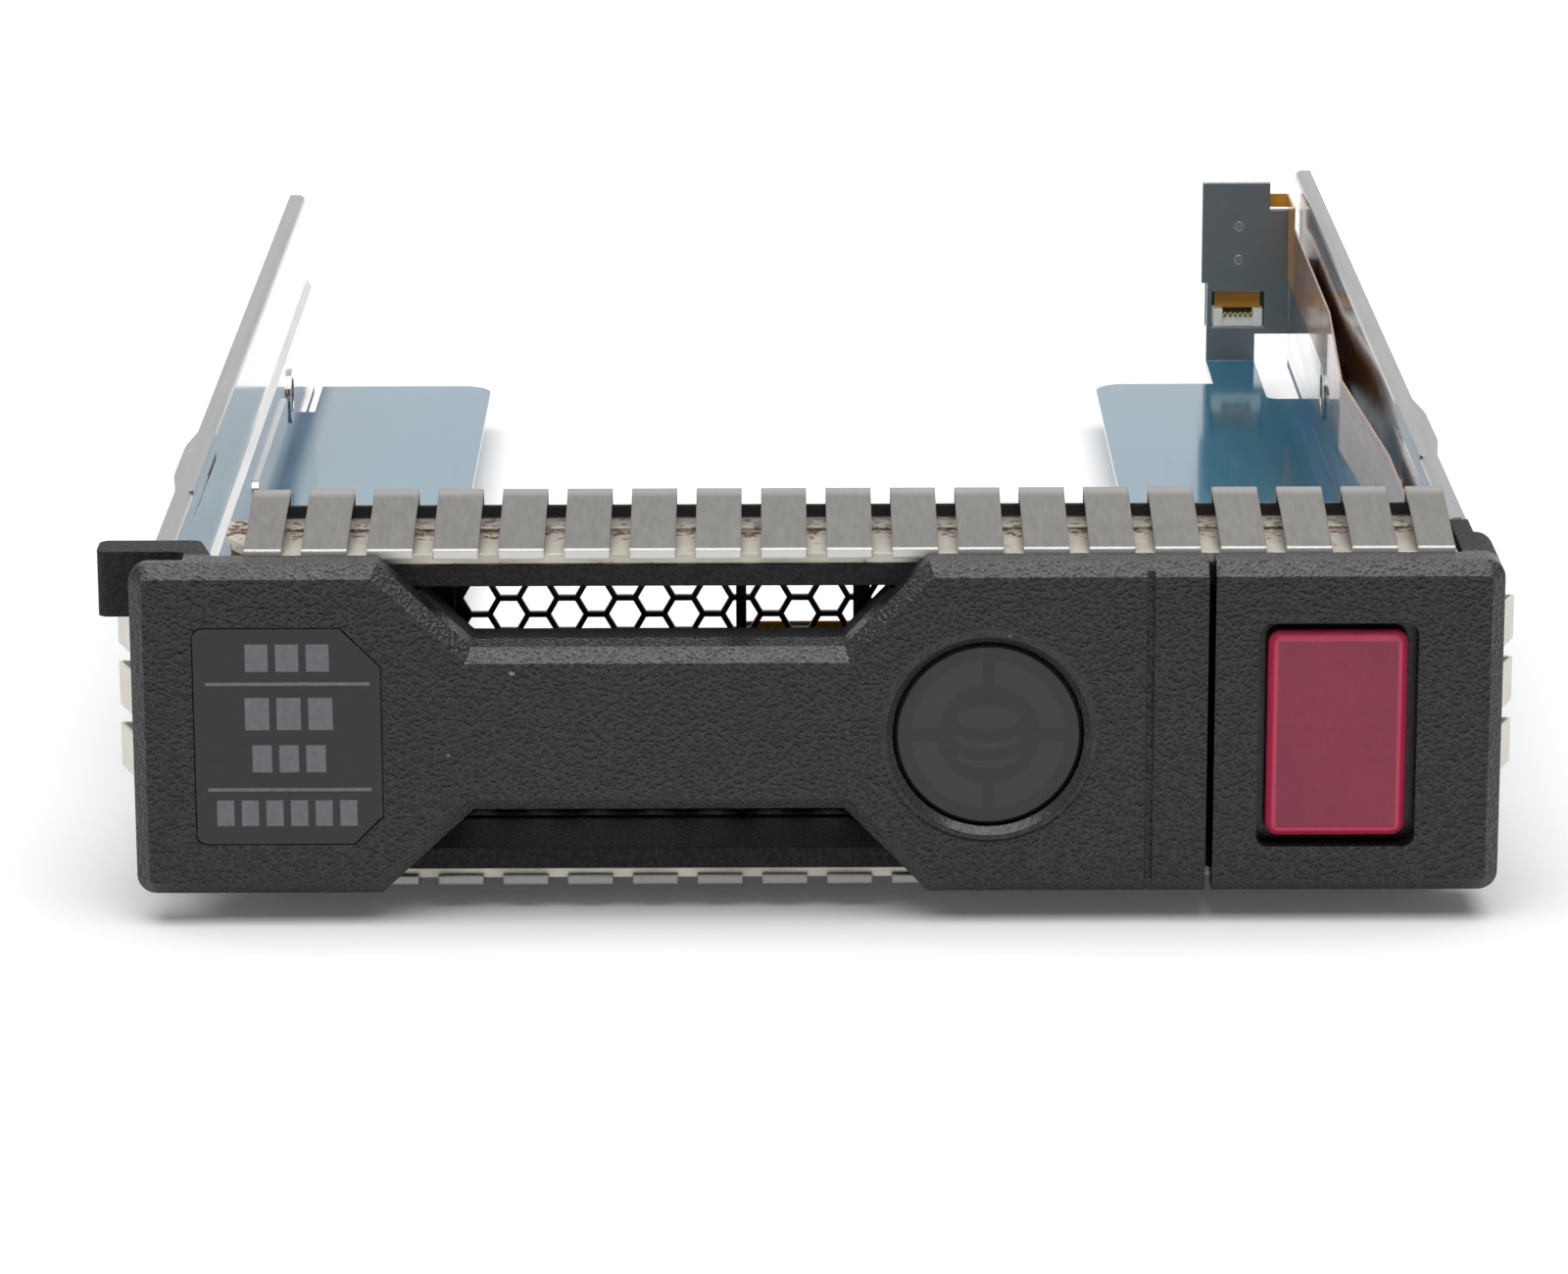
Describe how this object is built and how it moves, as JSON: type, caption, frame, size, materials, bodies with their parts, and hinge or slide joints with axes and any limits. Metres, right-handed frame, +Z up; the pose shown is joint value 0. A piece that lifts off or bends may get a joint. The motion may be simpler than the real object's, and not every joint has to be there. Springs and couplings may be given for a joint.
{
  "type": "drive tray",
  "caption": "Empty 3.5-inch hot-swap drive carrier: folded steel rails behind a black front with a swing lever, red release button and grounding springs.",
  "frame": {"origin": "under the middle of the tray's outer box, on the plane that the lower spring strip's crest touches", "axes": "+X to the right seen from the front, +Y from the front into the drive bay, +Z up"},
  "size_m": [0.1112, 0.181, 0.0315],
  "materials": {
    "front_plastic": "fine spark texture, near-black",
    "lens": "smoked, slightly glossy",
    "label_film": "smooth dark film",
    "button_red": "satin wine red",
    "spring_steel": "drawn wire",
    "fastener_steel": "zinc plated",
    "grille_black": "matte black sheet",
    "sheet_steel": "zinc plated sheet with rust specks",
    "strip_steel": "satin stainless",
    "rail_steel": "bright plated sheet, blue gloss film on the floor flanges",
    "clear_plastic": "clear moulding",
    "board_green": "solder mask",
    "led_white": "small light chips",
    "amber_film": "amber polyimide film",
    "gold_pad": "gold plated",
    "connector_white": "white moulding"
  },
  "bodies": {
    "tray": {"button_spring": "spring_steel", "lever_spring": "spring_steel", "pivot_pin": "fastener_steel", "bezel_base": "front_plastic", "base_screws": "fastener_steel", "vent_grille": "grille_black", "front_channel": "sheet_steel", "top_spring_strip": "strip_steel", "bottom_spring_strip": "strip_steel", "left_side_spring": "strip_steel", "right_side_spring": "strip_steel", "left_rail": "rail_steel", "right_rail": "rail_steel", "rail_rivets": "fastener_steel", "light_guide": "clear_plastic", "led_board": "board_green", "status_leds": "led_white", "flex_cable": "amber_film", "contact_board": "board_green", "contact_pads": "gold_pad", "flex_connector": "connector_white", "board_rivets": "fastener_steel"},
    "lever": {"lever": "front_plastic", "activity_lens": "lens", "label": "label_film"},
    "button": {"release_button": "button_red"}
  },
  "joints": [
    {"name": "lever_swing", "type": "hinge", "parent": "tray", "child": "lever", "pos_m": [-0.0468, -0.08635, 0.01575], "axis": [0, 0, -1], "range_deg": [0, 40]},
    {"name": "button_press", "type": "slide", "parent": "tray", "child": "button", "axis": [0, 1, 0], "range_m": [0, 0.002], "stiffness_N_per_m": 500, "deforming": ["button_spring"]}
  ]
}
